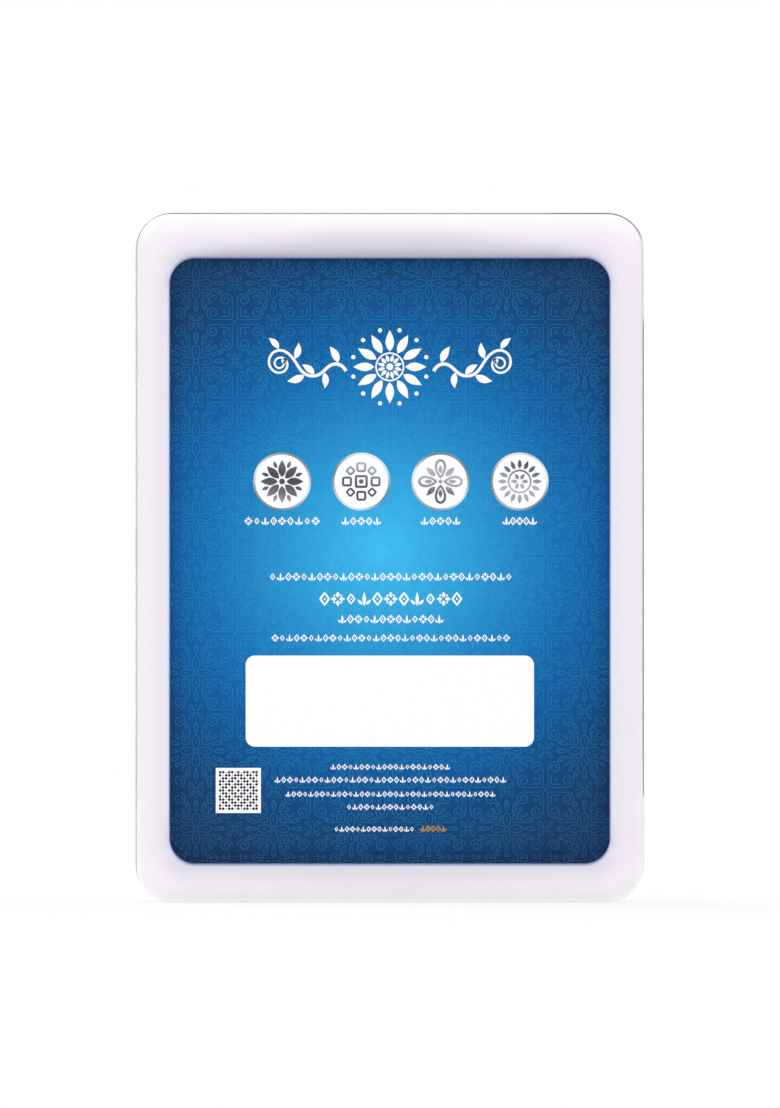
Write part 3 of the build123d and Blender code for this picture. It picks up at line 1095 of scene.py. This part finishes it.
def makeLid():
    # brim, domed crown with pointed petals running down from the middle, thin wall inside
    h = silverHolder
    wall, low, brim, crown = h["wall"], h["mouth"], h["brim"], h["crown"]
    wide, dome, flat = h["brimRadius"], h["mouthRadius"], h["crownRadius"]
    hole, domeSteps = 1.1, 56
    outer = profileOf(
        run((13.5, low), (wide, low), 6),
        bow((wide, low), (wide, brim), (1, 0), 8),
        run((wide, brim), (dome + 0.02, brim), 6),
        bow((flat, crown), (dome, brim), (1, 0), domeSteps)[::-1],
        run((flat, crown), (hole, crown), 3),
    )
    inner = profileOf(
        run((hole, crown - wall), (flat, crown - wall), 2),
        bow((flat, crown - wall), (dome - wall, brim), (1, 0), 24),
        run((13.5, brim - 0.01), (13.5, low), 2),
    )
    profile = np.concatenate([outer, inner[:-1]])
    brimStep = 20
    crownStep = brimStep + domeSteps

    def relief(angle, at):
        # two rows of petals on the dome and a roped edge on the brim
        down = 1 - (at - brimStep) / domeSteps
        front = petalRelief(angle, down, h["petals"], 0.1, 0.93, 0.0, 2.2) * 0.3
        behind = petalRelief(angle, down, h["petals"], 0.1, 0.99, 0.5, 2.2) * 0.2
        rope = 0.1 * np.cos(angle * 72 + at * 0.9) * bell(at, brimStep - 3, 2.2)
        onDome = (at > brimStep) & (at < crownStep)
        return np.where(onDome, np.maximum(front, behind), rope * (at < brimStep + 0.5))

    lift = liftOf(relief, profile, h["petals"] * h["columns"])
    hollow = hollowShadeOf(lift, brimStep + 1, crownStep - 2, 0.14, 0.85)
    return turnSurface(profile, lift, h["axis"], True), hollow.ravel()


def makeFinial(petals=8):
    # the lotus bud: waisted neck, closed petals that meet at the tip, stud and rivet below
    h = silverHolder
    base = h["crown"] + 0.55
    neck = base + 2.4
    belly = neck + 3.8
    tip = belly + 6.4
    rivetTop = h["crown"] - 0.85
    wide, swellSteps, tipPoints = 3.9, 18, 34
    share = np.linspace(0, 1, tipPoints)
    closing = wide * (1 - share**2.1) ** 0.82 * (1 - 0.1 * share)
    budUp = np.stack([closing, belly + (tip - belly) * share], axis=-1)
    budUp[-1, 0] = 0
    profile = profileOf(
        run((0, rivetTop - 0.7), (1.5, rivetTop - 0.7), 2),
        run((1.6, rivetTop - 0.6), (1.6, rivetTop), 2),
        run((1.6, rivetTop), (1.0, rivetTop), 1),
        run((1.0, rivetTop), (1.0, base), 3),
        run((1.0, base), (2.9, base), 3),
        run((3.0, base + 0.1), (3.0, base + 0.25), 1),
        bow((3.0, base + 0.3), (1.75, base + 1.35), (-1, 0.0), 10),
        bow((1.75, base + 1.4), (2.2, neck), (0, 1), 6),
        bow((wide, belly), (2.2, neck), (0, -1), swellSteps)[::-1],
        budUp,
    )
    budSteps = swellSteps + tipPoints - 1
    bud = len(profile) - budSteps - 1

    def relief(angle, at):
        up = np.clip((at - bud) / budSteps, 0, 1)
        place = np.abs(np.mod(angle * petals / fullTurn, 1.0) - 0.5)
        back = np.abs(np.mod(angle * petals / fullTurn + 0.5, 1.0) - 0.5)
        half = 0.5 * np.sqrt(np.clip(1 - np.clip(up / 0.82, 0, 1) ** 2.6, 0, 1))
        front = softStep(half - place, 0.0, 0.13)
        behind = 0.55 * softStep(0.5 - back, 0.02, 0.2)
        ends = softStep(up, 0, 0.12) * softStep(1 - up, 0, 0.14)
        return np.where(at > bud, 0.3 * (np.maximum(front, behind) - 0.5) * ends, 0)

    lift = liftOf(relief, profile, petals * h["columns"])
    hidden = hollowShadeOf(lift + 0.12, bud + 6, len(profile) - 5, 0.12)
    return turnSurface(profile, lift, h["axis"]), np.concatenate([hidden[1:-1].ravel(), [0, 0]])


putSilver("holderBowl", makeBowl(), "pot", ["bowl"])
putSilver("holderBelt", makeBelt(), "pot", [])
putSilver("holderCollar", makeCollar(), "pot", ["bowl_collar"])
putSilver("holderFoot", makeFoot(), "pot", ["foot_ring"])
putSilver("holderLid", makeLid(), "pot_lid", ["lid"])
putSilver("holderFinial", makeFinial(), "pot_lid", ["finial"])
dress(["lid_bezel", "finial_calyx", "finial_washer"], turnedSilver)
print("silver holder made")


# floor, light and camera
studio = {
    # half size and drop of the floor in metres, its own light, and where it turns plain white
    "floorHalf": 4.0,
    "floorDrop": 0.0001,
    "floorGlow": 0.5,
    "floorFade": (110.0, 480.0, 0.74, 1.0),
    "floorTones": (tone(246, 246, 247), tone(243, 243, 244)),
    "ambient": 0.52,
    "panel": 1.06,
    "white": (1.0, 1.0, 1.0, 1.0),
    "lamps": [
        # name, place in metres, size, watts
        ("softboxBack", (-0.3, -1.7, 0.7), 1.4, 3.0),
        ("softboxFront", (-0.7, 1.5, 1.0), 1.3, 12.0),
        ("softboxTop", (0.1, -0.1, 1.9), 1.2, 2.0),
    ],
    "aim": (0.0, 0.0, 0.075),
    # height and middle of the image at the back rim
    "imageHeight": 240.5,
    "imageMiddle": (0.04, 75.55),
    "rim": -25.0,
    "distance": 8.0,
    "sensor": 36.0,
}


def floorMaterial():
    # white paper floor: it takes the shadow near the case and runs out to plain white
    places = newMaterial("studioPaper")
    rays = put("LightPath").outputs
    indirect = calc("MAXIMUM", rays["Is Glossy Ray"], rays["Is Transmission Ray"])
    seen = calc("MAXIMUM", rays["Is Camera Ray"], indirect)
    colour = mixTone(noise(places, 0.02, 3.0), *studio["floorTones"])
    paper = put("BsdfDiffuse", {"Color": colour})
    glow = put("Emission", {"Color": studio["white"], "Strength": 1.0})
    far = put("VectorMath", {0: places}, operation="LENGTH").outputs["Value"]
    share = times(seen, fade(far, *studio["floorFade"]))
    share = calc("MAXIMUM", share, studio["floorGlow"])
    return finished(put("MixShader", {0: share, 1: paper.outputs[0], 2: glow.outputs[0]}))


def setFloor():
    half, low = studio["floorHalf"], -studio["floorDrop"]
    corners = [(-half, -half, low), (half, -half, low), (half, half, low), (-half, half, low)]
    mesh = bpy.data.meshes.new("studioFloor")
    mesh.from_pydata(corners, [], [(0, 1, 2, 3)])
    mesh.materials.append(floorMaterial())
    floor = putObject("studioFloor", mesh)


def setLamps():
    for name, place, size, watts in studio["lamps"]:
        lamp = bpy.data.lights.new(name, "AREA")
        lamp.shape = "SQUARE"
        lamp.size = size
        lamp.energy = watts
        holder = putObject(name, lamp)
        holder.location = place
        aim = np.array(studio["aim"]) - np.array(place)
        flat = math.hypot(aim[0], aim[1])
        holder.rotation_euler = (math.atan2(flat, -aim[2]), 0.0, math.atan2(-aim[0], aim[1]))


def setWorld():
    world = bpy.data.worlds.new("studioWorld")
    bpy.context.scene.world = world
    begin(world)
    rays = put("LightPath").outputs
    direct = calc("MAXIMUM", rays["Is Camera Ray"], rays["Is Transmission Ray"])
    way = put("SeparateXYZ", {0: put("TexCoord").outputs["Generated"]}).outputs
    # soft light comes from a wide pale panel before the printed side
    panel = fade(way["Y"], -0.3, 0.9, studio["panel"], studio["ambient"])
    # polished metal mirrors a bright sky over a dark horizon, with dark screens before and behind
    sky = fade(way["Z"], -0.05, 0.55, 0.22, 1.0)
    screen = fade(calc("ABSOLUTE", way["Y"]), 0.86, 0.97, 1.0, 0.1)
    mirrorLevel = times(times(rays["Is Glossy Ray"], sky), screen)
    soft = calc("SUBTRACT", 1.0, calc("MAXIMUM", direct, rays["Is Glossy Ray"]))
    level = calc("MULTIPLY_ADD", soft, panel, calc("MAXIMUM", direct, mirrorLevel))
    back = put("Background", {"Color": studio["white"], "Strength": level})
    put("OutputWorld", {"Surface": back.outputs[0]})


def setCamera():
    # straight on to the back rim, from far enough for the edges to stay parallel
    distance = studio["distance"]
    camera = bpy.data.cameras.new("photoCamera")
    camera.sensor_fit = "VERTICAL"
    camera.sensor_height = studio["sensor"]
    camera.lens = studio["sensor"] * distance / (studio["imageHeight"] * mm)
    holder = putObject("photoCamera", camera)
    right, up = studio["imageMiddle"]
    holder.location = (right * mm, studio["rim"] * mm - distance, up * mm)
    holder.rotation_euler = (math.pi / 2, 0.0, 0.0)
    bpy.context.scene.camera = holder


setFloor()
setLamps()
setWorld()
setCamera()
bpy.context.scene.view_settings.view_transform = "Standard"
print("studio set")
